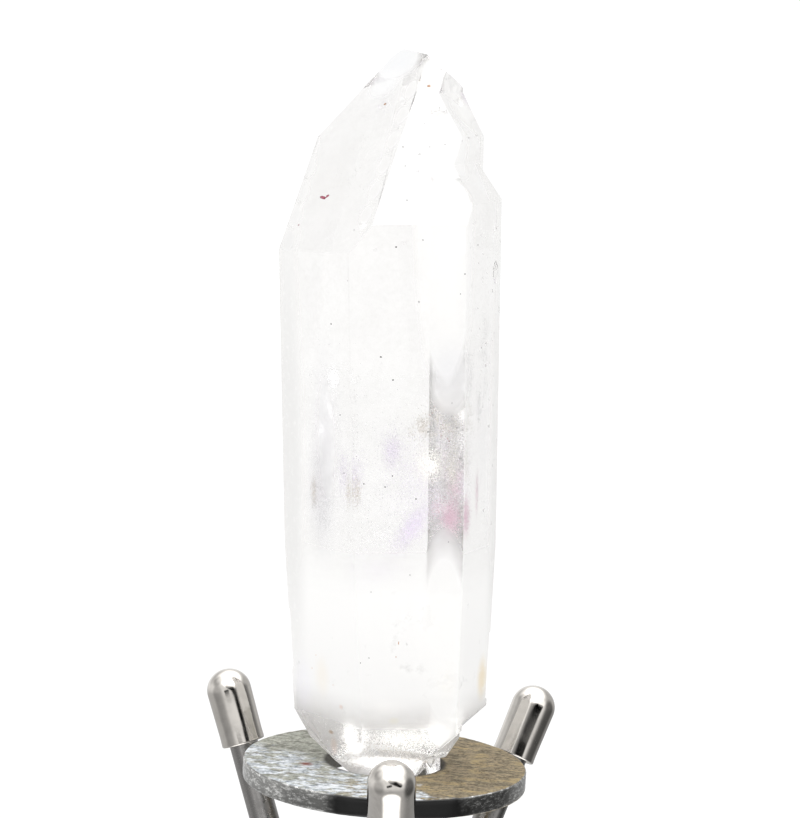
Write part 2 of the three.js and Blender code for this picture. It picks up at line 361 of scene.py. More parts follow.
class Recipe(Nodes):
    """Builds one material's node tree."""

    def __init__(self, name: str) -> None:
        """Starts an empty material called name."""
        self.material = bpy.data.materials.new(name)
        self.material.use_nodes = True
        super().__init__(self.material.node_tree)
        self.output = self.add("OutputMaterial")
        self.place: Socket = self.add("TexCoord").outputs["Object"]

    def grain(
        self, size: float, detail: float = 3.0, rough: float = 0.5, stretch: Triple = (1, 1, 1),
        seed: float = 0.0,
    ) -> Socket:
        """Noise whose lumps are about size millimetres across.

        Args:
            size: The lumps' size.
            detail: How many finer layers it has.
            rough: How strong the finer layers are.
            stretch: How many times finer it is along each axis.
            seed: Moves the pattern elsewhere.

        Returns:
            The noise's value, about 0.5 on average.
        """
        factors = tuple(value / size / MM for value in stretch)
        shift = (seed, seed * 1.7, seed * 0.6)
        moved = self.add("Mapping", {"Vector": self.place, "Scale": factors, "Location": shift})
        inputs = {"Vector": moved.outputs[0], "Scale": 1.0, "Detail": detail, "Roughness": rough}
        return self.add("TexNoise", inputs).outputs["Fac"]

    def mix(self, factor: object, first: object, second: object) -> Socket:
        """Mixes two colours."""
        node = self.add("Mix", data_type="RGBA")
        self.feed(node.inputs["Factor"], factor)
        self.feed(node.inputs[6], first)
        self.feed(node.inputs[7], second)
        return node.outputs[2]

    def patch(self, centre: Triple, radii: Triple) -> Socket:
        """A soft spot on the surface: 1 in its middle, 0 beyond its radii.

        Args:
            centre: Its middle in millimetres.
            radii: How far it reaches along each axis.

        Returns:
            The spot's strength.
        """
        middle = tuple(value * MM for value in centre)
        offset = self.add("VectorMath", {0: self.place, 1: middle}, operation="SUBTRACT").outputs[0]
        factors = tuple(1.0 / (value * MM) for value in radii)
        reach = self.add("VectorMath", {0: offset, 1: factors}, operation="MULTIPLY").outputs[0]
        length = self.add("VectorMath", {0: reach}, operation="LENGTH").outputs["Value"]
        return self.span(length, 0.15, 1.0, 1.0, 0.0)

    def principled(self, inputs: dict[str, object], volume: Socket | None = None) -> Material:
        """Closes the recipe with one Principled shader.

        Args:
            inputs: The shader's values.
            volume: What fills the body, if anything does.

        Returns:
            The finished material.
        """
        shader = self.add("BsdfPrincipled", inputs)
        self.feed(self.output.inputs["Surface"], shader.outputs[0])
        if volume is not None:
            self.feed(self.output.inputs["Volume"], volume)
        return self.material


# Finishes


@dataclass(frozen=True)
class SkinPatch:
    """A stain, tone or frosted place on the crystal's skin, by its place in the picture; some of them
    are painted light or painted shade.

    Frost is how much of the clearness it takes away in its middle, and fill widens that middle.
    """

    seen: Pair
    reach: Triple
    colour: Colour
    frost: float = 0.1
    fill: float = 1.0


# Grey frost along the two edges of the upper left face: painted shade
EDGE_PAINTED_SHADE = tuple(
    SkinPatch((366 + 9 * step, 215 - 25 * step), (1.3, 2.0, 2.3), (0.89, 0.88, 0.87), 0.9, 1.8)
    for step in range(6)
) + tuple(
    SkinPatch((288 + 7 * step, 240 - 25 * step), (1.3, 4.0, 2.4), (0.88, 0.875, 0.87), 0.9, 1.8)
    for step in range(5)
)
# Later patches cover earlier ones: rust low down, tip and shoulder, middle strip, sides, tip again
STAINS_AND_PAINTED_LIGHT = EDGE_PAINTED_SHADE + (
    SkinPatch((482, 678), (1.3, 2.5, 3.6), (0.90, 0.80, 0.63)),
    SkinPatch((446, 680), (1.5, 2.5, 3.0), (0.96, 0.93, 0.86)),
    SkinPatch((322, 676), (1.7, 2.5, 3.4), (0.96, 0.93, 0.88)),
    SkinPatch((334, 746), (0.8, 1.5, 1.6), (0.93, 0.76, 0.66)),
    SkinPatch((331, 732), (0.8, 0.8, 0.35), (0.50, 0.32, 0.18)),
    SkinPatch((341, 707), (0.4, 0.8, 0.4), (0.85, 0.72, 0.66)),
    SkinPatch((303, 684), (2.2, 3.0, 5.0), (0.95, 0.94, 0.965)),
    SkinPatch((350, 738), (1.6, 2.0, 2.6), (0.95, 0.95, 0.92), 0.0),
    SkinPatch((408, 738), (3.8, 2.0, 2.2), (0.95, 0.945, 0.92), 0.0),
    SkinPatch((394, 721), (0.9, 1.0, 0.6), (0.95, 0.93, 0.84)),
    SkinPatch((446, 745), (0.9, 2.0, 1.4), (0.95, 0.90, 0.89)),
    SkinPatch((398, 62), (5.2, 6.0, 3.4), (0.90, 0.905, 0.915), 0.97, 2.2),
    SkinPatch((384, 84), (4.0, 4.5, 3.0), (0.94, 0.942, 0.945), 0.7),
    SkinPatch((430, 70), (2.6, 3.0, 2.6), (0.93, 0.925, 0.915), 0.9),
    # White frost down the middle strip and on the shoulder: painted light that stands in for the
    # brightness seen through the glass.
    SkinPatch((446, 225), (4.4, 5.0, 24.0), (0.97, 0.96, 0.945), 0.97, 4.0),
    SkinPatch((444, 148), (4.2, 5.0, 7.0), (0.985, 0.98, 0.97), 0.97, 3.5),
    SkinPatch((466, 112), (4.2, 5.5, 5.4), (0.94, 0.935, 0.92), 0.95),
    SkinPatch((363, 226), (0.9, 1.4, 0.9), (0.97, 0.965, 0.96), 0.95),
    SkinPatch((429, 86), (0.5, 1.0, 0.5), (0.80, 0.72, 0.64)),
    SkinPatch((438, 118), (0.35, 1.5, 1.3), (0.96, 0.93, 0.84)),
    SkinPatch((450, 380), (3.6, 3.5, 6.0), (0.86, 0.855, 0.86), 0.6, 1.6),
    # The white frost lower down the middle strip is painted light as well.
    SkinPatch((444, 640), (4.4, 4.0, 17.0), (0.99, 0.985, 0.97), 0.92, 2.0),
    SkinPatch((446, 480), (5.5, 4.0, 15.0), (0.95, 0.94, 0.94), 0.2),
    SkinPatch((430, 464), (2.8, 2.4, 3.2), (0.97, 0.95, 0.88), 0.12),
    SkinPatch((482, 186), (2.4, 3.0, 2.0), (0.94, 0.94, 0.935)),
    # Grey frost down both sides: painted shade.
    SkinPatch((290, 440), (3.4, 4.5, 40.0), (0.81, 0.805, 0.795), 0.85, 1.6),
    SkinPatch((496, 470), (2.2, 3.5, 36.0), (0.83, 0.825, 0.815), 0.85, 1.6),
    SkinPatch((484, 440), (1.4, 3.0, 12.0), (0.90, 0.895, 0.895)),
    SkinPatch((326, 440), (4.6, 4.0, 17.0), (0.87, 0.862, 0.872), 0.4),
    SkinPatch((320, 495), (3.6, 3.5, 9.0), (0.74, 0.73, 0.745), 0.2),
    SkinPatch((367, 80), (3.0, 6.0, 3.4), (0.90, 0.905, 0.92), 0.97, 2.2),
    SkinPatch((450, 84), (3.2, 4.5, 3.2), (0.92, 0.915, 0.905), 0.97, 2.0),
    SkinPatch((479, 129), (2.2, 3.5, 2.2), (0.88, 0.875, 0.865), 0.95, 1.6),
    SkinPatch((332, 180), (7.0, 8.0, 9.0), (0.90, 0.89, 0.875), 0.0),
)


@dataclass(frozen=True)
class ClearQuartz:
    """Clear quartz with fine growth lines, hazy towards its lower end, faintly stained, with painted
    light and shade in patches.
    """

    ior: float = 1.544
    roughness: float = 0.004
    hazed: float = 0.16
    tint: Colour = (0.94, 0.934, 0.926)
    mottled: Colour = (0.885, 0.878, 0.868)
    absorbed: Colour = (0.54, 0.50, 0.45)
    density: float = 1.6
    milk: Colour = (0.965, 0.96, 0.95)
    milk_frost: float = 0.96
    milk_foot: Pair = (4.0, 11.0)
    milk_top: Pair = (22.0, 31.0)
    milk_slope: float = 1.1

    def lowness(self, recipe: Recipe) -> Socket:
        """Finds how far down a place lies in the milky zone, whose top slants down behind.

        Args:
            recipe: The material it belongs to.

        Returns:
            1 in the zone, 0 above it and at its foot.
        """
        _, along, height = recipe.add("SeparateXYZ", {0: recipe.place}).outputs
        behind = recipe.times(recipe.math("MAXIMUM", along, 0.0), self.milk_slope)
        height = recipe.plus(height, behind)
        foot = [(SEAT_HEIGHT + level) * MM for level in self.milk_foot]
        top = [(SEAT_HEIGHT + level) * MM for level in self.milk_top]
        return recipe.times(recipe.span(height, *top, 1.0, 0.0), recipe.span(height, *foot))

    def material(self, host: Host) -> Material:
        """Dresses the crystal.

        Args:
            host: The crystal's solid, which tells where each stain or painted patch lies.

        Returns:
            The crystal's material.
        """
        recipe = Recipe("quartz_clear")
        lines = recipe.grain(0.5, 2.0, 0.5, (0.12, 0.12, 1.6))
        pits = recipe.grain(1.1, 2.0, 0.5, seed=4.0)
        relief = recipe.plus(recipe.times(lines, 0.5), pits)
        bump = recipe.add("Bump", {"Strength": 0.012, "Distance": 0.2 * MM, "Height": relief})
        low = self.lowness(recipe)
        cloud = recipe.grain(4.0, 4.0, 0.6, seed=9.0)
        milky = recipe.times(low, recipe.span(cloud, 0.08, 0.4), clamp=True)
        fine = recipe.times(recipe.grain(0.8, 4.0, 0.7, seed=5.0), 0.7)
        broad = recipe.times(recipe.grain(5.0, 3.0, 0.5, seed=6.0), 0.5)
        mottle = recipe.span(recipe.plus(fine, broad), 0.45, 0.8)
        colour = recipe.mix(mottle, self.tint, self.mottled)
        colour = recipe.mix(milky, colour, self.milk)
        covered = recipe.times(milky, self.milk_frost)
        speckled = recipe.span(fine, 0.12, 0.34)
        # Real stains and patches of painted light and shade alike.
        for skin_patch in STAINS_AND_PAINTED_LIGHT:
            found = host.surface(skin_patch.seen)
            if found is None:
                LOG.warning("no crystal shows at %s", skin_patch.seen)
                continue
            patch = recipe.patch(tuple(found[0]), skin_patch.reach)
            colour = recipe.mix(recipe.times(patch, speckled), colour, skin_patch.colour)
            frosted = recipe.times(recipe.times(patch, skin_patch.fill, clamp=True), skin_patch.frost)
            covered = recipe.math("MAXIMUM", covered, frosted)
        clear = recipe.math("SUBTRACT", 1.0, covered, clamp=True)
        inside = recipe.add("VolumeAbsorption", {"Color": self.absorbed, "Density": self.density})
        return recipe.principled(
            {
                "Base Color": colour,
                "Roughness": recipe.span(low, 0.0, 1.0, self.roughness, self.hazed),
                "IOR": self.ior,
                "Transmission Weight": clear,
                "Normal": bump.outputs[0],
            },
            inside.outputs[0],
        )


@dataclass(frozen=True)
class Haze:
    """The fine dust of a healed crack or a phantom inside the crystal, which glows with painted light.
    """

    name: str
    colour: Colour
    roughness: float = 0.5
    # How strongly the dust glows in its own colour: painted light that lifts its tone inside the glass.
    painted_glow: float = 0.0

    def material(self) -> Material:
        """Returns the dust's material, a little uneven in tone, with a painted glow in its own colour.
        """
        recipe = Recipe("dust_" + self.name)
        uneven = recipe.span(recipe.grain(1.3, 3.0, seed=2.0), 0.3, 0.7)
        pale = tuple(value + (1 - value) * 0.35 for value in self.colour)
        return recipe.principled(
            {
                "Base Color": recipe.mix(uneven, self.colour, pale),
                "Roughness": self.roughness,
                "Emission Color": self.colour,
                "Emission Strength": self.painted_glow,
            }
        )


@dataclass(frozen=True)
class Speck:
    """The finish of grit and flecks that lie on the crystal."""

    name: str
    colour: Colour
    other: Colour
    roughness: float = 0.6

    def material(self) -> Material:
        """Returns the flecks' material, with two tones."""
        recipe = Recipe("speck_" + self.name)
        tone = recipe.span(recipe.grain(0.25, 3.0, seed=1.0), 0.35, 0.65)
        colour = recipe.mix(tone, self.colour, self.other)
        return recipe.principled({"Base Color": colour, "Roughness": self.roughness})


@dataclass(frozen=True)
class WornZinc:
    """Corroded zinc plating: olive at the back left, rust-brown on the right, flaking white in front."""

    radius: float
    hole: float
    olive: tuple[Colour, Colour] = ((0.17, 0.175, 0.14), (0.62, 0.62, 0.55))
    rust: tuple[Colour, Colour] = ((0.08, 0.06, 0.035), (0.44, 0.36, 0.23))
    golden: Colour = (0.46, 0.35, 0.17)
    plate: tuple[Colour, Colour] = ((0.24, 0.27, 0.30), (0.88, 0.91, 0.94))
    rim: tuple[Colour, Colour] = ((0.30, 0.30, 0.29), (0.88, 0.88, 0.86))
    # A painted dark reflection across the middle of the rim's front.
    rim_painted_reflection: Colour = (0.035, 0.035, 0.035)
    rim_middle: Triple = (1.6, 7.0, 9.5)
    shade: Colour = (0.05, 0.045, 0.03)
    # Painted shade round the hole's edge.
    hole_painted_shade: Colour = (0.05, 0.045, 0.04)
    spot: Colour = (0.24, 0.07, 0.04)
    spot_place: Pair = (-9.6, -3.4)
    border: Pair = (-3.0, 5.0)
    crescent: Pair = (7.5, 10.5)
    ragged: float = 9.0

    def material(self) -> Material:
        """Returns the washer's material."""
        recipe = Recipe("zinc_corroded")
        across, along, _ = recipe.add("SeparateXYZ", {0: recipe.place}).outputs
        square = recipe.plus(recipe.times(across, across), recipe.times(along, along))
        reach = recipe.math("SQRT", square)
        wobble = recipe.math("SUBTRACT", recipe.grain(3.0, 5.0, 0.65, seed=3.0), 0.5)
        wobble = recipe.times(wobble, self.ragged * MM)
        fine = recipe.grain(0.45, 5.0, 0.75, seed=8.0)
        streak = recipe.grain(0.9, 5.0, 0.75, (0.7, 1.2, 1.0), seed=5.0)
        grit = recipe.times(recipe.plus(fine, streak), 0.5)
        tone = recipe.span(grit, 0.36, 0.64)
        blotch = recipe.grain(2.4, 4.0, 0.6, (0.7, 1.3, 1.0), seed=17.0)

        # Olive, then rust to the right with golden and dark blotches
        yellow = recipe.times(recipe.span(blotch, 0.5, 0.62), tone)
        rusty = recipe.mix(yellow, recipe.mix(tone, *self.rust), self.golden)
        side = recipe.plus(recipe.plus(across, wobble), recipe.times(along, -0.35))
        right = recipe.span(side, *(value * MM for value in self.border))
        colour = recipe.mix(right, recipe.mix(tone, *self.olive), rusty)
        colour = recipe.mix(recipe.span(blotch, 0.36, 0.47, 0.42, 0.0), colour, self.shade)

        # Flaking plate in a crescent at the front left, and the red-brown spot
        front = recipe.math("SUBTRACT", recipe.times(along, -1.0), recipe.times(across, 0.9))
        front = recipe.plus(front, recipe.times(wobble, 1.5))
        front = recipe.span(front, *(value * MM for value in self.crescent))
        flake = recipe.grain(1.8, 5.0, 0.72, (0.8, 1.2, 1.0), seed=11.0)
        plated = recipe.times(front, recipe.span(flake, 0.43, 0.52))
        colour = recipe.mix(plated, colour, recipe.mix(recipe.span(streak, 0.35, 0.6), *self.plate))
        spot = recipe.patch((*self.spot_place, SEAT_HEIGHT), (1.2, 1.2, 3.0))
        colour = recipe.mix(spot, colour, self.spot)

        # The hole's edge, darkened with painted shade, and the rim: a painted dark reflection in the
        # middle of the front, scuffed beside it
        hole = recipe.span(reach, (self.hole + 0.1) * MM, (self.hole + 0.7) * MM, 0.85, 0.0)
        colour = recipe.mix(hole, colour, self.hole_painted_shade)
        rim = recipe.span(reach, (self.radius - 0.22) * MM, (self.radius - 0.1) * MM)
        scuff = recipe.span(recipe.grain(0.6, 5.0, 0.75, (0.6, 0.6, 1.6), seed=13.0), 0.46, 0.66)
        middle, inner, outer = (value * MM for value in self.rim_middle)
        beside = recipe.math("ABSOLUTE", recipe.math("SUBTRACT", across, middle))
        beside = recipe.span(recipe.plus(beside, recipe.times(wobble, 0.3)), inner, outer)
        # The dark middle is a painted reflection; the scuffs beside it are wear.
        edge = recipe.mix(beside, self.rim_painted_reflection, recipe.mix(scuff, *self.rim))
        colour = recipe.mix(rim, colour, edge)
        relief = recipe.times(grit, recipe.span(rim, 0.0, 1.0, 1.0, 0.0))
        bump = recipe.add("Bump", {"Strength": 0.55, "Distance": 0.1 * MM, "Height": relief})
        rough = recipe.plus(recipe.span(rim, 0.0, 1.0, 0.85, 0.14), recipe.times(scuff, 0.12))
        metal = recipe.plus(rim, recipe.times(plated, 0.2), clamp=True)
        return recipe.principled(
            {"Base Color": colour, "Metallic": metal, "Roughness": rough, "Normal": bump.outputs[0]}
        )


@dataclass(frozen=True)
class Steel:
    """Steel that is polished, drawn or turned, with faint lines and handling marks."""

    name: str
    colour: Colour
    roughness: float
    line_size: float
    lines: float

    def material(self) -> Material:
        """Returns the steel's material."""
        recipe = Recipe("steel_" + self.name)
        lines = recipe.grain(self.line_size, 3.0, 0.6, (0.15, 0.15, 1.0))
        marks = recipe.grain(2.2, 5.0, 0.65, seed=6.0)
        rough = recipe.span(marks, 0.3, 0.75, self.roughness * 0.75, self.roughness * 1.5)
        darker = tuple(value * 0.86 for value in self.colour)
        colour = recipe.mix(recipe.span(marks, 0.35, 0.7), self.colour, darker)
        bump = recipe.add("Bump", {"Strength": self.lines, "Distance": 0.05 * MM, "Height": lines})
        return recipe.principled(
            {"Base Color": colour, "Metallic": 1.0, "Roughness": rough, "Normal": bump.outputs[0]}
        )


# Sub-assemblies


@dataclass
class Crystal:
    """The quartz crystal itself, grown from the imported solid."""

    source: Object
    host: Host
    weld: float = 0.002
    flat_turn: float = 0.8
    worn_turn: float = 8.0
    worn_length: float = 2.2
    edge_width: float = 0.09
    facet_length: float = 0.7
    facet_turn: float = 0.6
    ripple: float = 0.0004
    ripple_fineness: Triple = (0.25, 0.25, 1.3)
    finish: ClearQuartz = ClearQuartz()

    def body(self) -> BMesh:
        """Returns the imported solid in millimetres, with whole facets and worn edges."""
        bm = from_solid(self.source)
        bmesh.ops.remove_doubles(bm, verts=bm.verts, dist=self.weld)
        flat, steep = math.radians(self.flat_turn), math.radians(self.worn_turn)
        bmesh.ops.dissolve_limit(bm, angle_limit=flat, verts=bm.verts, edges=bm.edges)
        long = [edge for edge in bm.edges if edge.calc_length() > self.worn_length]
        worn = [edge for edge in long if edge.is_manifold and edge.calc_face_angle(0) > steep]
        bmesh.ops.bevel(
            bm, geom=worn, offset=self.edge_width, segments=1, affect="EDGES", clamp_overlap=False
        )
        for face in bm.faces:
            face.smooth = True
        for edge in bm.edges:
            edge.smooth = edge.calc_face_angle(0) < math.radians(self.facet_turn)
        return bm

    def relieved(self, bm: BMesh) -> None:
        """Gives every facet its faint growth ripples.

        Args:
            bm: The crystal in millimetres, changed in place.
        """
        refined(bm, self.facet_length)
        bm.normal_update()
        moves = []
        for vert in bm.verts:
            point = Vector([value * fine for value, fine in zip(vert.co, self.ripple_fineness)])
            height = noise.noise(point) + 0.5 * noise.noise(point * 2.3)
            moves.append((vert, vert.normal * (height * self.ripple)))
        for vert, move in moves:
            vert.co += move

    def build(self) -> Object:
        """Returns the finished crystal."""
        bm = self.body()
        self.relieved(bm)
        LOG.info("crystal: %d faces", len(bm.faces))
        mesh = to_mesh("crystal_body", bm, None)
        piece = as_object("crystal_body", mesh, self.finish.material(self.host))
        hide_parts("crystal")
        return piece


@dataclass(frozen=True)
class Drift:
    """One drift of dust inside the crystal, by the place in the picture where its middle shows.

    Clump makes it patchy, and lean turns it in the picture's plane, in degrees.
    """

    seen: Pair
    reach: Triple
    count: int
    size: float = 0.22
    depth: float = 3.0
    lean: float = 0.0
    clump: float = 0.0


WHITE_DRIFTS = (
    Drift((326, 435), (2.9, 2.0, 12), 2200, 0.24, clump=0.45),
    Drift((333, 378), (1.2, 1.0, 1.5), 500, 0.32),
    Drift((329, 408), (0.35, 0.8, 2.6), 340, 0.3, lean=-28),
    Drift((322, 430), (0.8, 0.8, 1.0), 260, 0.3),
    Drift((452, 372), (1.8, 1.6, 3.8), 1500, 0.26, clump=0.42),
    Drift((430, 465), (1.5, 1.4, 2.1), 900, 0.26),
    Drift((378, 540), (3.8, 3.0, 3.4), 1100, 0.3, clump=0.48),
    Drift((400, 470), (9.0, 4.0, 13), 6000, 0.17, depth=6, clump=0.45),
    Drift((484, 560), (1.5, 1.5, 9), 900, 0.24, depth=2, clump=0.4),
    Drift((385, 106), (1.3, 0.8, 1.0), 130, 0.24, depth=1.2),
)
# Milky haze of the lower zone; the shallow drifts just behind the lower faces glow strongly, painted
# light that brightens those faces.
MILK_AND_GLOW_DRIFTS = (
    Drift((388, 690), (10, 6.0, 8), 7000, 0.2, depth=8, clump=0.3),
    Drift((391, 764), (6.5, 3.0, 1.4), 11000, 0.24, depth=1.2),
    Drift((402, 738), (5.0, 2.0, 2.0), 3000, 0.2, depth=1.4),
    Drift((350, 738), (2.0, 1.6, 2.6), 2600, 0.22, depth=1.2),
    Drift((461, 714), (2.6, 2.0, 2.6), 1300, 0.22, depth=1.2),
    Drift((440, 735), (2.4, 2.4, 2.6), 2200, 0.24, depth=1.6),
)
GREY_DRIFTS = (
    Drift((327, 440), (2.7, 2.0, 10), 6000, 0.22, clump=0.45),
    Drift((453, 378), (1.8, 1.6, 3.8), 1300, 0.2, depth=4),
    Drift((479, 405), (0.5, 1.2, 3.2), 500, 0.2, depth=2),
    Drift((378, 500), (8.0, 4.0, 9), 2400, 0.18, depth=6, clump=0.45),
    Drift((485, 350), (1.6, 1.5, 10), 1700, 0.2, depth=2, clump=0.45),
    Drift((322, 490), (2.2, 1.8, 6), 2600, 0.2, clump=0.4),
    Drift((352, 160), (5.0, 2.0, 8), 700, 0.2, depth=2, clump=0.4),
    Drift((440, 450), (3.4, 2.0, 6), 1700, 0.2, depth=5, clump=0.5),
)
LILAC_DRIFTS = (
    Drift((392, 450), (1.4, 1.6, 2.5), 1000),
    Drift((412, 528), (1.5, 1.6, 4.4), 2700, lean=35),
    Drift((344, 475), (1.5, 1.5, 3.5), 800),
    Drift((378, 575), (3.6, 2.6, 2.6), 1600),
    Drift((418, 478), (4.6, 2.6, 6.5), 2400, depth=5),
    Drift((384, 100), (2.0, 1.2, 3), 300, 0.18, depth=2),
    Drift((303, 690), (2.0, 1.5, 4), 500, depth=2),
)
MAROON_DRIFTS = (
    Drift((451, 517), (1.35, 1.3, 2.5), 2600, 0.2),
    Drift((477, 492), (0.22, 0.8, 3.2), 360, 0.18, depth=1.6),
    Drift((438, 508), (1.3, 1.5, 2.0), 340, 0.2),
)
BROWN_DRIFTS = (
    Drift((446, 418), (2.5, 1.6, 3.0), 2800, lean=20, clump=0.42),
    Drift((425, 430), (2.0, 1.5, 1.7), 1900, 0.2, lean=35, clump=0.42),
    Drift((452, 462), (1.2, 1.5, 3.2), 700, 0.2),
    Drift((314, 492), (0.55, 0.8, 2.2), 620, 0.2, depth=2),
    Drift((357, 492), (0.6, 0.8, 2.2), 380, 0.2),
)
RED_DRIFTS = (
    Drift((432, 410), (1.2, 1.0, 1.4), 14, 0.22),
    Drift((446, 436), (1.3, 1.0, 1.6), 16, 0.22),
    Drift((452, 515), (1.1, 1.0, 2.4), 40, 0.2),
)


@dataclass
class Inclusions:
    """The dust that lies inside the crystal."""

    host: Host
    cover: float = 0.3
    spread: float = 0.45
    seed: int = 7

    def __post_init__(self) -> None:
        """Starts the one line of random draws."""
        self.draw = random.Random(self.seed)

    def any_way(self) -> Vector:
        """Draws a vector that points anywhere."""
        return Vector([self.draw.gauss(0, 1) for _ in range(3)])

    def thin(self, drift: Drift, point: Vector) -> bool:
        """Tells whether a clumped drift has a gap at a point."""
        cloud = noise.noise(point * 0.55) + 0.6 * noise.noise(point * 1.7)
        return cloud < drift.clump - 0.4

    def place(self, drift: Drift, middle: Vector) -> Vector | None:
        """Draws one point of a drift.

        Args:
            drift: The drift.
            middle: Its middle, in millimetres.

        Returns:
            The point, or None where the drift is thin or leaves the crystal.
        """
        offset = Vector([self.draw.gauss(0, self.spread) * reach for reach in drift.reach])
        offset.rotate(Matrix.Rotation(math.radians(drift.lean), 3, "Y"))
        point = middle + offset
        if drift.clump and self.thin(drift, point):
            return None
        return point if self.host.holds(point, self.cover) else None

    def flake(self, bm: BMesh, point: Vector, size: float) -> None:
        """Adds one small leaf-shaped flake.

        Args:
            bm: The mesh it joins, in millimetres.
            point: Its middle.
            size: Its length.
        """
        draw = self.draw
        across = self.any_way().normalized()
        other = across.cross(self.any_way()).normalized()
        length = size * draw.uniform(0.5, 1.3)
        width = length * draw.uniform(0.35, 0.8)
        corners = (
            point + across * length * 0.5, point + other * width * 0.5,
            point - across * length * 0.5, point - other * width * draw.uniform(0.2, 0.6),
        )
        bm.faces.new([bm.verts.new(corner) for corner in corners])

    def drifts(self, name: str, drifts: Sequence[Drift], finish: Haze, fine: float = 0.6) -> Object:
        """Builds all drifts of one kind as a single piece.

        Args:
            name: The piece's name.
            drifts: Where the dust lies.
            finish: What it looks like.
            fine: The share of its size that each flake keeps. More of them make up for it.

        Returns:
            The piece.
        """
        bm = bmesh.new()
        for drift in drifts:
            middle = self.host.inside(drift.seen, drift.depth)
            for _ in range(round(drift.count / fine**2)):
                point = self.place(drift, middle)
                if point is not None:
                    self.flake(bm, point, drift.size * fine)
        LOG.info("%s: %d flakes", name, len(bm.faces))
        piece = as_object(name, to_mesh(name, bm), finish.material())
        return piece

    def build(self) -> None:
        """Builds every kind of dust."""
        # Every kind but the red glows a little: painted light.
        self.drifts("dust_white", WHITE_DRIFTS, Haze("white", (0.985, 0.985, 0.985), 0.35, 0.34), 0.8)
        self.drifts("dust_milk", MILK_AND_GLOW_DRIFTS, Haze("milk", (0.985, 0.98, 0.97), 0.35, 0.6))
        self.drifts("dust_grey", GREY_DRIFTS, Haze("grey", (0.89, 0.885, 0.895), painted_glow=0.2))
        self.drifts("dust_lilac", LILAC_DRIFTS, Haze("lilac", (0.89, 0.84, 0.945), painted_glow=0.25))
        self.drifts("dust_maroon", MAROON_DRIFTS, Haze("maroon", (0.83, 0.60, 0.71), painted_glow=0.16))
        self.drifts("dust_brown", BROWN_DRIFTS, Haze("brown", (0.84, 0.80, 0.745), painted_glow=0.18))
        self.drifts("dust_red", RED_DRIFTS, Haze("red", (0.45, 0.08, 0.10)), 1.0)


@dataclass(frozen=True)
class Fleck:
    """One fleck on the crystal's skin: its place in the picture, length, width and turn."""

    seen: Pair
    length: float
    width: float
    turn: float = 0.0


GRIT_PLACES = (
    (469, 138), (462, 141), (405, 166), (403, 147), (407, 200), (396, 247), (423, 240), (478, 245),
    (354, 230), (465, 274), (460.5, 294), (419, 302), (331, 324), (381, 357), (393, 380), (452, 403),
    (493, 405), (340, 415), (428, 432), (457, 428), (344, 473), (392.5, 476), (364, 484), (385, 487),
    (416, 499), (448.5, 542), (410, 575), (371, 592), (369, 658), (360.5, 663), (429, 752), (433, 756),
    (326, 755),
)
RUST_FLECKS = (
    Fleck((385, 104), 0.45, 0.35),
    Fleck((316, 655), 0.22, 0.18),
    Fleck((312, 668), 0.2, 0.2),
    Fleck((333, 685), 0.22, 0.16),
    Fleck((396, 657), 0.22, 0.2),
    Fleck((398.6, 643), 0.16, 0.6),
    Fleck((429, 86), 0.5, 0.4, 20),
)
WINE_FLECKS = (
    Fleck((323, 197.5), 1.6, 0.42, -14),
    Fleck((327.5, 196), 0.8, 0.5, 30),
    Fleck((298.5, 225), 0.26, 0.26),
)


@dataclass
class Flecks:
    """Grit, rust dots and the one red scale that sit on the crystal."""

    host: Host
    grit_size: float = 0.2
    rise: float = 0.05
    sink: float = 0.02
    corners: int = 9
    seed: int = 21

    def fleck(self, bm: BMesh, fleck: Fleck, draw: random.Random) -> None:
        """Adds one low ragged fleck that lies on the skin.

        Args:
            bm: The mesh it joins, in millimetres.
            fleck: The fleck.
            draw: The source of its ragged outline.
        """
        found = self.host.surface(fleck.seen)
        if found is None:
            return
        point, normal, _ = found
        level = Vector((0, 0, 1)).cross(normal).normalized()
        level.rotate(Matrix.Rotation(math.radians(fleck.turn), 3, normal))
        upright = normal.cross(level)
        ring = []
        for index in range(self.corners):
            turn = 2 * math.pi * index / self.corners
            ragged = draw.uniform(0.7, 1.15)
            spot = level * math.cos(turn) * fleck.length + upright * math.sin(turn) * fleck.width
            ring.append(bm.verts.new(point + spot * 0.5 * ragged - normal * self.sink))
        top = bm.verts.new(point + normal * self.rise)
        bottom = bm.verts.new(point - normal * 2 * self.sink)
        for index in range(self.corners):
            after = (index + 1) % self.corners
            bm.faces.new((ring[index], ring[after], top))
            bm.faces.new((ring[after], ring[index], bottom))

    def piece(self, name: str, flecks: Sequence[Fleck], finish: Speck) -> None:
        """Builds all flecks of one kind as a single piece.

        Args:
            name: The piece's name.
            flecks: The flecks.
            finish: What they look like.
        """
        draw = random.Random(self.seed)
        bm = bmesh.new()
        for fleck in flecks:
            self.fleck(bm, fleck, draw)
        LOG.info("%s: %d faces", name, len(bm.faces))
        piece = as_object(name, to_mesh(name, bm, 60), finish.material())

    def build(self) -> None:
        """Builds the grit, the rust dots and the red scale."""
        draw = random.Random(self.seed + 1)
        grit = [
            Fleck(seen, self.grit_size * draw.uniform(0.7, 1.3), self.grit_size * draw.uniform(0.7, 1.1))
            for seen in GRIT_PLACES
        ]
        black = Speck("black", (0.03, 0.03, 0.035), (0.09, 0.085, 0.08))
        rust = Speck("rust", (0.42, 0.20, 0.10), (0.62, 0.34, 0.20))
        wine = Speck("scale", (0.30, 0.03, 0.07), (0.52, 0.12, 0.18), 0.35)
        self.piece("grit_black", grit, black)
        self.piece("dots_rust", RUST_FLECKS, rust)
        self.piece("scale_red", WINE_FLECKS, wine)


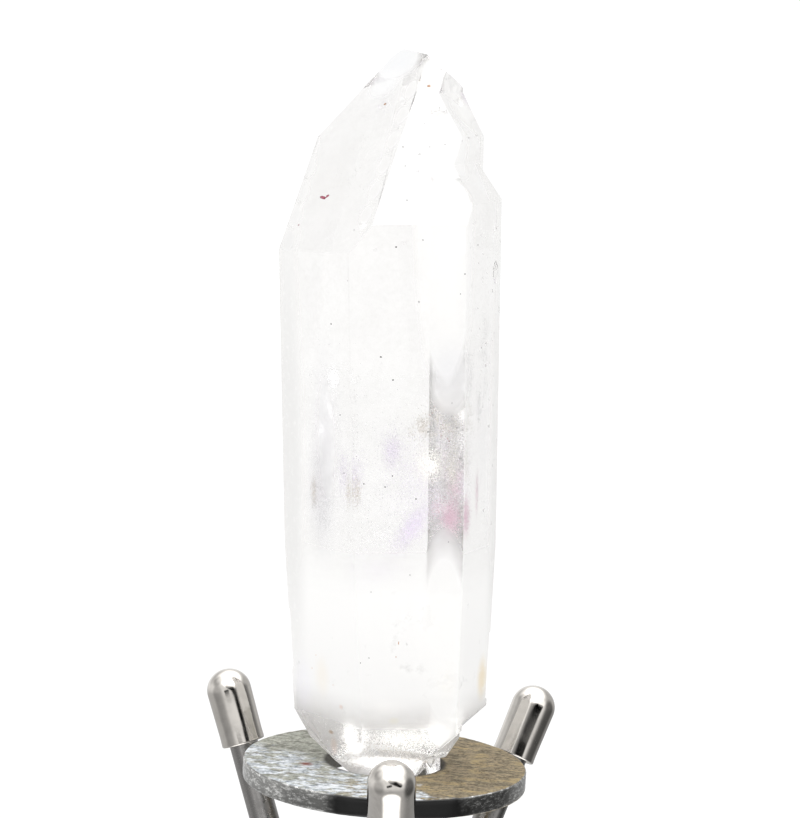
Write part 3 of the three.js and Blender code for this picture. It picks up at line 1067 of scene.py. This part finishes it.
@dataclass
class Washer:
    """The loose plated washer that the crystal stands in."""

    radius: float = 17.46
    hole: float = 7.15
    thickness: float = 2.35
    edge: float = 0.25
    tilt: float = 3.2
    crust: float = 0.05
    sides: int = 220
    rings: int = 44

    def profile(self) -> list[Pair]:
        """Returns the washer's outline from the hole outward and back below."""
        inner, width = self.hole + self.edge, self.radius - self.hole - 2 * self.edge
        top = [(inner + width * step / self.rings, 0.0) for step in range(self.rings + 1)]
        outer = arc((self.radius - self.edge, -self.edge), self.edge, 90, 0, 3)[1:]
        outer += [(self.radius, -self.thickness * share) for share in (0.3, 0.5, 0.7)]
        outer += arc((self.radius - self.edge, self.edge - self.thickness), self.edge, 0, -90, 3)
        inner = arc((self.hole + self.edge, self.edge - self.thickness), self.edge, 270, 180, 3)
        inner += arc((self.hole + self.edge, -self.edge), self.edge, 180, 90, 3)[:-1]
        return top + outer + inner

    def build(self) -> Object:
        """Returns the washer, corroded and tilted to where it rests."""
        bm = lathe(self.profile(), self.sides)
        bm.normal_update()
        for vert in bm.verts:
            point = vert.co.copy()
            grown = max(0.0, noise.noise(point * 0.9) + 0.4 * noise.noise(point * 2.7))
            vert.co += vert.normal * (self.crust * grown)
        turn = Matrix.Rotation(math.radians(self.tilt), 4, "Y")
        bmesh.ops.transform(bm, matrix=Matrix.Translation((0, 0, SEAT_HEIGHT)) @ turn, verts=bm.verts)
        LOG.info("washer: %d faces", len(bm.faces))
        finish = WornZinc(self.radius, self.hole)
        piece = as_object("washer_plate", to_mesh("washer_plate", bm, 40), finish.material())
        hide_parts("washer")
        return piece


class Side(Enum):
    """The arms of the stand, with where each stands and leans."""

    LEFT = ("left", -118.2, 17.8, 20.6, 0.15)
    RIGHT = ("right", 126.0, 28.8, 21.6, 2.9)
    FRONT = ("front", 2.2, 28.0, 21.65, 3.1)

    def __init__(self, label: str, azimuth: float, lean: float, reach: float, below: float) -> None:
        """Names an arm's values.

        Args:
            label: The word for it in the pieces' names.
            azimuth: Where it stands round the washer, in degrees.
            lean: How far it leans outward, in degrees.
            reach: How far from the middle it passes the washer's level.
            below: How far below that level its cap begins.
        """
        self.label = label
        self.azimuth = azimuth
        self.lean = lean
        self.reach = reach
        self.below = below


@dataclass
class Arm:
    """One bent rod of the stand and the polished cap on its end."""

    side: Side
    rod_radius: float = 1.85
    rod_sides: int = 32
    straight: float = 12.0
    hub_circle: float = 5.2
    hub_depth: float = 6.0
    hub_top: float = 36.0
    hub_rise: float = 2.0
    bend_upper: float = 0.55
    bend_lower: float = 0.4
    cap_length: float = 9.7
    lip_radius: float = 2.72
    top_radius: float = 2.82
    cap_crown: float = 2.2
    cap_dome: float = 2.75
    gap: float = 0.3
    cap_sides: int = 96

    def at(self, along: float) -> Vector:
        """Returns the point of the arm's axis this far above the washer's level."""
        slope = math.radians(self.side.lean)
        out, up = along * math.sin(slope), along * math.cos(slope)
        return azimuth_point(self.side.azimuth, self.side.reach + out, SEAT_HEIGHT + up)

    def route(self) -> list[Vector]:
        """Returns the rod's centre line from inside the cap down into the hub."""
        azimuth = self.side.azimuth
        top = self.at(self.cap_length - self.side.below - self.cap_crown - self.gap)
        low = self.at(-self.straight)
        entry = azimuth_point(azimuth, self.hub_circle, self.hub_top + self.hub_rise)
        end = azimuth_point(azimuth, self.hub_circle, self.hub_top - self.hub_depth)
        drop = low.z - entry.z
        first = low + (low - top).normalized() * drop * self.bend_upper
        second = entry + Vector((0, 0, drop * self.bend_lower))
        points = [top.lerp(low, share / 6) for share in range(6)]
        steps = 30
        for index in range(steps + 1):
            t = index / steps
            left = 1 - t
            upper = low * left**3 + first * 3 * t * left**2
            points.append(upper + second * 3 * t * t * left + entry * t**3)
        return points + [entry.lerp(end, share / 3) for share in (1, 2, 3)]

    def rod(self, material: Material) -> Object:
        """Returns the bent rod."""
        points = self.route()
        bm = bmesh.new()
        across = Vector((1, 0, 0))
        rings = []
        for index, point in enumerate(points):
            before, after = points[max(index - 1, 0)], points[min(index + 1, len(points) - 1)]
            along = (after - before).normalized()
            across = (across - along * across.dot(along)).normalized()
            other = along.cross(across)
            turns = (2 * math.pi * step / self.rod_sides for step in range(self.rod_sides))
            spokes = (across * math.cos(t) + other * math.sin(t) for t in turns)
            rings.append([bm.verts.new(point + spoke * self.rod_radius) for spoke in spokes])
        for upper, lower in zip(rings, rings[1:]):
            for step in range(self.rod_sides):
                after = (step + 1) % self.rod_sides
                bm.faces.new((upper[step], upper[after], lower[after], lower[step]))
        bm.faces.new(rings[0])
        bm.faces.new(rings[-1])
        bmesh.ops.recalc_face_normals(bm, faces=bm.faces)
        name = f"rod_{self.side.label}"
        piece = as_object(f"{name}_steel", to_mesh(name, bm, 50), material)
        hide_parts(name)
        return piece

    def cap(self, material: Material) -> Object:
        """Returns the polished cap, hollow from below."""
        bore = self.rod_radius + self.gap
        length = self.cap_length
        profile = [(0, length - self.cap_crown), (bore, length - self.cap_crown), (bore, 0.25)]
        profile += [(bore + 0.12, 0.03), (self.lip_radius - 0.2, 0.0)]
        profile += arc((self.lip_radius - 0.16, 0.2), 0.2, -70, 10, 4)
        wall = 8
        profile += [
            (self.lip_radius + (self.top_radius - self.lip_radius) * step / wall,
             0.5 + (length - self.cap_dome - 0.5) * step / wall)
            for step in range(1, wall)
        ]
        dome = 16
        for step in range(dome):
            turn = math.pi / 2 * step / dome
            height = length - self.cap_dome * (1 - math.sin(turn))
            profile.append((self.top_radius * math.cos(turn), height))
        profile.append((0, length))
        bm = lathe(profile, self.cap_sides)
        foot = self.at(-self.side.below)
        up = (self.at(1) - self.at(0)).normalized()
        turn = Vector((0, 0, 1)).rotation_difference(up).to_matrix().to_4x4()
        bmesh.ops.transform(bm, matrix=Matrix.Translation(foot) @ turn, verts=bm.verts)
        name = f"cap_{self.side.label}"
        piece = as_object(f"{name}_polished", to_mesh(name, bm, 35), material)
        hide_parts(name)
        return piece


@dataclass
class Stand:
    """The turned hub, post and foot below the arms."""

    hub_radius: float = 9.5
    hub_height: float = 13.0
    hub_top: float = 36.0
    hub_edge: float = 1.2
    post_radius: float = 4.0
    post_socket: float = 4.0
    post_edge: float = 0.25
    post_sides: int = 72
    foot_radius: float = 36.0
    foot_height: float = 8.0
    foot_crown: float = 1.6
    foot_edge: float = 1.4
    foot_sides: int = 200
    gap: float = 0.3
    sides: int = 160

    def drill(self, cutter: BMesh, place: Triple, radius: float, depth: float, sides: int) -> None:
        """Adds the form of one bore, with the gap round what sits in it.

        Args:
            cutter: The mesh it joins.
            place: The middle of the bore's mouth.
            radius: What sits in it, without the gap.
            depth: How deep that sits.
            sides: How many sides the bore has.
        """
        wide = radius + self.gap
        bmesh.ops.create_cone(
            cutter, cap_ends=True, segments=sides, radius1=wide, radius2=wide,
            depth=2 * (depth + self.gap), matrix=Matrix.Translation(place),
        )

    def hub(self, material: Material) -> Object:
        """Returns the hub with its sockets for the rods and the post."""
        height = self.hub_height
        bm = lathe(turned(self.hub_radius, 0, height, self.hub_edge, 5), self.sides)
        bmesh.ops.translate(bm, vec=(0, 0, self.hub_top - height), verts=bm.verts)
        piece = as_object("hub_turned", to_mesh("hub_turned", bm, 35), material)
        cutter = bmesh.new()
        for side in Side:
            arm = Arm(side)
            place = azimuth_point(side.azimuth, arm.hub_circle, self.hub_top)
            self.drill(cutter, place, arm.rod_radius, arm.hub_depth, 40)
        self.drill(cutter, (0, 0, self.hub_top - height), self.post_radius, self.post_socket, 56)
        cut_from(piece, to_mesh("hub_cutter", cutter))
        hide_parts("hub")
        return piece

    def post(self, material: Material) -> Object:
        """Returns the short post between the foot and the hub."""
        bottom = self.foot_height + self.foot_crown - self.post_socket
        top = self.hub_top - self.hub_height + self.post_socket
        bm = lathe(turned(self.post_radius, bottom, top, self.post_edge, 3), self.post_sides)
        piece = as_object("post_turned", to_mesh("post_turned", bm, 35), material)
        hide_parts("post")
        return piece

    def foot(self, material: Material) -> Object:
        """Returns the round foot with the socket for the post."""
        radius, edge, height = self.foot_radius, self.foot_edge, self.foot_height
        socket, crown = self.post_radius + self.gap, self.foot_crown
        floor = height + crown - self.post_socket - self.gap
        profile = [(0, 0)] + arc((radius - edge / 2, edge / 2), edge / 2, -90, 0, 4)
        profile += [(radius, height / 2)] + arc((radius - edge, height - edge), edge, 0, 86, 7)
        rise = 24
        for step in range(1, rise + 1):
            share = step / rise
            across = (radius - edge) * (1 - share) + (socket + 1) * share
            profile.append((across, height + crown * share**2.2))
        top, bevel = height + crown, 0.15
        profile += [(socket + bevel, top), (socket, top - bevel), (socket, floor), (0, floor)]
        bm = lathe(profile, self.foot_sides)
        piece = as_object("foot_turned", to_mesh("foot_turned", bm, 35), material)
        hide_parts("foot")
        return piece


def cut_from(piece: Object, cutter: Mesh) -> None:
    """Subtracts a mesh from a piece and keeps the result.

    Args:
        piece: The object that is cut.
        cutter: The closed mesh that is taken away.
    """
    tool = placed("cutter", cutter)
    modifier = piece.modifiers.new("cut", "BOOLEAN")
    modifier.operation = "DIFFERENCE"
    modifier.solver = "EXACT"
    modifier.object = tool
    bpy.context.view_layer.update()
    graph = bpy.context.evaluated_depsgraph_get()
    done = bpy.data.meshes.new_from_object(piece.evaluated_get(graph))
    piece.modifiers.clear()
    piece.data = done
    done.shade_smooth()
    done.set_sharp_from_angle(angle=math.radians(35))
    bpy.data.objects.remove(tool)


@dataclass(frozen=True)
class Panel:
    """A soft patch of the surroundings: light that is added, or a dark shape that holds it back."""

    azimuth: float
    elevation: float
    inner: float
    outer: float
    light: float = 0.0
    dark: float = 0.0

    def direction(self) -> Vector:
        """Returns the direction towards the panel's middle."""
        rise = math.radians(self.elevation)
        return azimuth_point(self.azimuth, math.cos(rise), math.sin(rise))


RIGHT_BAND = tuple(Panel(-6 + 7.9 * step, 32.5 - 3.8 * step, 7.5, 12, dark=0.96) for step in range(7))
LEFT_BAND = tuple(Panel(-17 + 7 * step, 6 + 2.2 * step, 4, 7, dark=0.9) for step in range(3))
PANELS = RIGHT_BAND + LEFT_BAND + (
    Panel(0, 90, 30, 62, light=1.6),
    Panel(20, 64, 8, 36, light=1.5),
    Panel(228, 34, 12, 34, dark=0.3),
    Panel(0, -90, 68, 93, dark=0.45),
    Panel(0, -62, 24, 38, light=1.9),
    Panel(-4, 52, 14, 34, light=0.8),
    Panel(52, 30, 10, 26, light=0.6),
    Panel(92, -10, 18, 40, dark=0.7),
    Panel(-62, -4, 14, 36, dark=0.4),
    Panel(-88, 40, 12, 30, dark=0.45),
    Panel(120, -8, 35, 60, dark=0.4),
)


@dataclass
class Studio:
    """The white floor, the soft surrounding light and the camera."""

    lens: Lens
    lens_mm: float = 101.22
    floor_reach: float = 1700.0
    floor_white: float = 0.9
    floor_glow: float = 0.1
    white: float = 1.09
    mirrored: float = 1.05

    def camera(self) -> None:
        """Sets the camera where the photograph was taken from."""
        data = bpy.data.cameras.new("camera")
        data.sensor_width = 36.0
        data.lens = self.lens_mm
        data.clip_start = 0.01
        data.clip_end = 20.0
        camera = placed("camera", data)
        camera.location = Vector(self.lens.place) * MM
        camera.rotation_euler = (math.radians(90 - self.lens.pitch), 0, 0)
        bpy.context.scene.camera = camera

    def floor(self) -> None:
        """Lays the plain pale floor."""
        bm = bmesh.new()
        reach = self.floor_reach
        spots = ((-reach, -reach), (reach, -reach), (reach, reach), (-reach, reach))
        bm.faces.new([bm.verts.new((across, along, 0.0)) for across, along in spots])
        recipe = Recipe("floor_white")
        cloud = recipe.span(recipe.grain(60.0, 2.0), 0.3, 0.7)
        colour = recipe.mix(cloud, (self.floor_white,) * 3, (self.floor_white * 0.985,) * 3)
        material = recipe.principled(
            {"Base Color": colour, "Roughness": 1.0, "Specular IOR Level": 0.0,
             "Emission Color": (1.0, 1.0, 1.0), "Emission Strength": self.floor_glow}
        )
        floor = placed("floor", to_mesh("floor", bm))
        floor.data.materials.append(material)
        floor.visible_glossy = False
        floor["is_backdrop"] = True

    def light(self) -> None:
        """Surrounds the object with an even tent. Only mirrored rays meet its panels and dark shapes."""
        world = bpy.data.worlds.new("tent")
        bpy.context.scene.world = world
        world.use_nodes = True
        world.cycles.sampling_method = "NONE"
        tent = Nodes(world.node_tree)
        look = tent.add("TexCoord").outputs["Generated"]
        level: Socket | float = self.mirrored
        for panel in PANELS:
            aim = {0: look, 1: panel.direction()}
            aligned = tent.add("VectorMath", aim, operation="DOT_PRODUCT").outputs["Value"]
            outer, inner = (math.cos(math.radians(reach)) for reach in (panel.outer, panel.inner))
            if panel.light:
                level = tent.plus(level, tent.span(aligned, outer, inner, 0.0, panel.light))
            else:
                level = tent.times(level, tent.span(aligned, outer, inner, 1.0, 1.0 - panel.dark))
        path = tent.add("LightPath")
        mirrored = tent.times(path.outputs["Is Glossy Ray"], path.outputs["Is Reflection Ray"])
        choice = tent.add("Mix", {"Factor": mirrored, "A": self.white, "B": level})
        back = tent.add("Background", {"Color": (1.0, 1.0, 1.0), "Strength": choice.outputs[0]})
        tent.add("OutputWorld", {"Surface": back.outputs[0]})

    def film(self) -> None:
        """Sets how tones and light paths are handled."""
        scene = bpy.context.scene
        scene.view_settings.view_transform = "Standard"
        scene.view_settings.look = "None"
        cycles = scene.cycles
        cycles.use_denoising = True
        cycles.max_bounces = 24
        cycles.transmission_bounces = 20
        cycles.glossy_bounces = 12
        cycles.diffuse_bounces = 16
        cycles.transparent_max_bounces = 16

    def build(self) -> None:
        """Sets the whole studio."""
        self.camera()
        self.floor()
        self.light()
        self.film()


def corners() -> list[list[float]]:
    """Returns the shown object's lowest and highest corner as plain lists."""
    return [list(corner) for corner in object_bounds()]


def main() -> None:
    """Builds the object's pieces in order, then the studio."""
    logging.basicConfig(level=logging.INFO, format="%(name)s: %(message)s")
    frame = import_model()
    nodes = frame["nodes"]
    lens = Lens()
    Studio(lens).build()
    host = Host(nodes["crystal"], lens, ClearQuartz.ior)
    Crystal(nodes["crystal"], host).build()
    Inclusions(host).build()
    Flecks(host).build()
    Washer().build()
    drawn = Steel("drawn", (0.34, 0.33, 0.32), 0.25, 0.3, 0.15).material()
    polished = Steel("polished", (0.66, 0.63, 0.59), 0.1, 0.25, 0.03).material()
    turned = Steel("turned", (0.60, 0.60, 0.61), 0.33, 0.25, 0.2).material()
    for side in Side:
        arm = Arm(side)
        arm.rod(drawn)
        arm.cap(polished)
        LOG.info("arm %s: rod and cap", side.label)
    stand = Stand()
    stand.hub(turned)
    stand.post(drawn)
    stand.foot(turned)
    LOG.info("stand: hub, post and foot")


if __name__ == "__main__":
    main()
